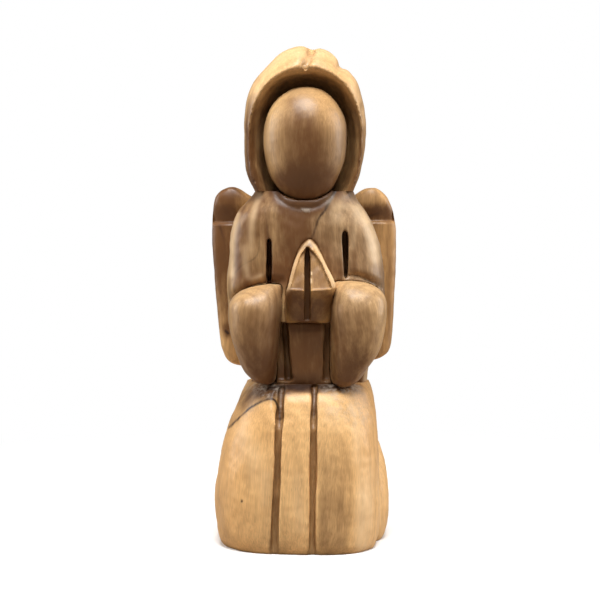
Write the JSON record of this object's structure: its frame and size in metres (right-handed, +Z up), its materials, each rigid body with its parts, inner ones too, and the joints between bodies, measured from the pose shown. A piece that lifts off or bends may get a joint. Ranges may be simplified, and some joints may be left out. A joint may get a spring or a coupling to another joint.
{
  "type": "praying angel statue",
  "caption": "Kneeling hooded angel with a plain oval face, hands joined in prayer and folded wings, carved in olive wood, that stands on its flat base.",
  "frame": {"origin": "middle of the statue's box, at the base plane that it stands on", "axes": "+Z up; the figure faces -Y; the figure's own left side is +X"},
  "size_m": [0.0952, 0.0843, 0.25],
  "materials": {
    "olive_light": "satin",
    "olive_honey": "satin",
    "olive_grey": "satin",
    "olive_brown": "satin",
    "dowel_wood": "matt"
  },
  "bodies": {
    "root": {"lower_robe": "olive_light", "torso": "olive_grey", "right_sleeve": "olive_honey", "left_sleeve": "olive_honey", "praying_hands": "olive_honey", "head": "olive_grey", "hood": "olive_light", "right_wing": "olive_brown", "left_wing": "olive_brown", "waist_dowels": "dowel_wood", "neck_dowel": "dowel_wood", "hood_dowels": "dowel_wood", "wing_dowels": "dowel_wood", "sleeve_dowels": "dowel_wood", "hands_dowel": "dowel_wood"}
  },
  "joints": []
}
